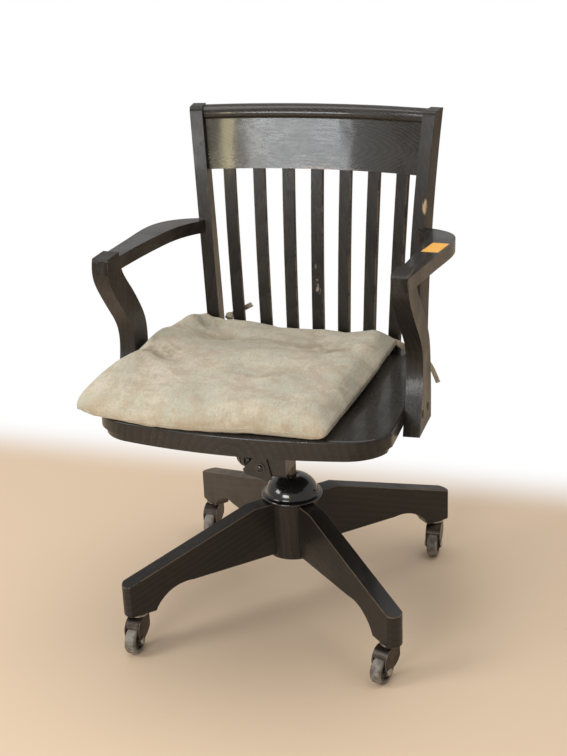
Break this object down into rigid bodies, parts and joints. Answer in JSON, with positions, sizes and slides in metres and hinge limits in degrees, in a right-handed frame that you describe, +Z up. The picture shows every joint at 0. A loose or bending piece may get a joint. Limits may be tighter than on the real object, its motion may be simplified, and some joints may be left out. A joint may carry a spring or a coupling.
{
  "type": "bankers swivel chair",
  "caption": "Wooden office armchair with slatted back and tied seat cushion on a screw-height, tilting swivel base with casters.",
  "frame": {"origin": "on the floor, on the swivel axis", "axes": "+Z up, the seat faces -Y, +X is towards the right-hand side of the picture, the sitter's left"},
  "size_m": [0.5424, 0.5632, 0.844],
  "materials": {
    "black_wood": "black-stained oak, satin-gloss lacquer, worn brown at edges",
    "underside_wood": "black-stained, dull",
    "plug_black": "matt black",
    "collar_black": "gloss black enamel",
    "black_iron": "semi-gloss black, dusty",
    "bright_steel": "zinc plated, aged",
    "spring_steel": "dark oiled",
    "knob_black": "gloss black",
    "caster_bronze": "dark bronze, rubbed",
    "wheel_dark": "dark brown, satin",
    "tread_grey": "light grey, scuffed",
    "linen": "grey-green linen, stained",
    "label_orange": "plain paper sticker"
  },
  "bodies": {
    "base": {"hub_column": "black_wood", "bearing_tube": "bright_steel", "lower_washer": "bright_steel", "leg_1": "black_wood", "leg_2": "black_wood", "leg_3": "black_wood", "leg_4": "black_wood", "leg_bolts": "bright_steel", "caster_sockets": "bright_steel"},
    "turntable": {"upper_washer": "bright_steel"},
    "collar": {"height_collar": "collar_black", "collar_set_screw": "bright_steel"},
    "control": {"spindle": "bright_steel", "control_housing": "black_iron", "stop_bolt": "bright_steel", "pivot_shaft": "bright_steel", "pivot_nuts": "bright_steel"},
    "seat": {"seat_plate": "black_iron", "plate_screws": "bright_steel", "tension_bolt": "bright_steel", "tilt_spring": "spring_steel", "seat_board": "black_wood", "seat_underlayer": "underside_wood", "left_post": "black_wood", "right_post": "black_wood", "crest_rail": "black_wood", "slat_1": "black_wood", "slat_2": "black_wood", "slat_3": "black_wood", "slat_4": "black_wood", "slat_5": "black_wood", "slat_6": "black_wood", "slat_7": "black_wood", "left_armrest": "black_wood", "right_armrest": "black_wood", "left_support": "black_wood", "right_support": "black_wood", "support_bolts": "bright_steel", "support_plugs": "plug_black", "arm_screws": "bright_steel", "blank_label": "label_orange", "seat_cushion": "linen", "cushion_ties": "linen"},
    "knob": {"tension_knob": "knob_black"},
    "caster_1": {"caster_horn_1": "caster_bronze", "caster_axle_1": "bright_steel"},
    "wheel_1": {"wheel_core_1": "wheel_dark", "wheel_tread_1": "tread_grey"},
    "caster_2": {"caster_horn_2": "caster_bronze", "caster_axle_2": "bright_steel"},
    "wheel_2": {"wheel_core_2": "wheel_dark", "wheel_tread_2": "tread_grey"},
    "caster_3": {"caster_horn_3": "caster_bronze", "caster_axle_3": "bright_steel"},
    "wheel_3": {"wheel_core_3": "wheel_dark", "wheel_tread_3": "tread_grey"},
    "caster_4": {"caster_horn_4": "caster_bronze", "caster_axle_4": "bright_steel"},
    "wheel_4": {"wheel_core_4": "wheel_dark", "wheel_tread_4": "tread_grey"}
  },
  "joints": [
    {"name": "seat_swivel", "type": "hinge", "parent": "base", "child": "turntable", "pos_m": [0, 0, 0.2], "axis": [0, 0, 1], "continuous": true},
    {"name": "seat_height", "type": "slide", "parent": "turntable", "child": "control", "axis": [0, 0, 1], "range_m": [-0.01, 0.06]},
    {"name": "collar_turn", "type": "hinge", "parent": "turntable", "child": "collar", "pos_m": [0, 0, 0.2], "axis": [0, 0, 1], "range_deg": [-580, 3440]},
    {"name": "seat_tilt", "type": "hinge", "parent": "control", "child": "seat", "pos_m": [0, 0.012, 0.321], "axis": [-1, 0, 0], "range_deg": [0, 10], "stiffness_Nm_per_rad": 120, "springref_deg": -5.73, "deforming": ["tilt_spring"]},
    {"name": "tension_knob_turn", "type": "hinge", "parent": "seat", "child": "knob", "pos_m": [-0.06, -0.027, 0.28], "axis": [0, 0, 1], "range_deg": [-1080, 1080]},
    {"name": "caster_swivel_1", "type": "hinge", "parent": "base", "child": "caster_1", "pos_m": [0.21064, 0.22196, 0.07], "axis": [0, 0, 1], "continuous": true},
    {"name": "wheel_spin_1", "type": "hinge", "parent": "caster_1", "child": "wheel_1", "pos_m": [0.2114, 0.19998, 0.024], "axis": [0.9994, 0.0349, 0], "continuous": true},
    {"name": "caster_swivel_2", "type": "hinge", "parent": "base", "child": "caster_2", "pos_m": [-0.22704, 0.20515, 0.07], "axis": [0, 0, 1], "continuous": true},
    {"name": "wheel_spin_2", "type": "hinge", "parent": "caster_2", "child": "wheel_2", "pos_m": [-0.22781, 0.18316, 0.024], "axis": [0.9994, -0.0349, 0], "continuous": true},
    {"name": "caster_swivel_3", "type": "hinge", "parent": "base", "child": "caster_3", "pos_m": [-0.21064, -0.22196, 0.07], "axis": [0, 0, 1], "continuous": true},
    {"name": "wheel_spin_3", "type": "hinge", "parent": "caster_3", "child": "wheel_3", "pos_m": [-0.21179, -0.24393, 0.024], "axis": [0.9986, -0.0523, 0], "continuous": true},
    {"name": "caster_swivel_4", "type": "hinge", "parent": "base", "child": "caster_4", "pos_m": [0.22196, -0.21064, 0.07], "axis": [0, 0, 1], "continuous": true},
    {"name": "wheel_spin_4", "type": "hinge", "parent": "caster_4", "child": "wheel_4", "pos_m": [0.21444, -0.23131, 0.024], "axis": [0.9397, -0.342, 0], "continuous": true}
  ],
  "couplings": [
    {"joint": "collar_turn", "follows": "seat_height", "rad_per_m": 989.48}
  ]
}
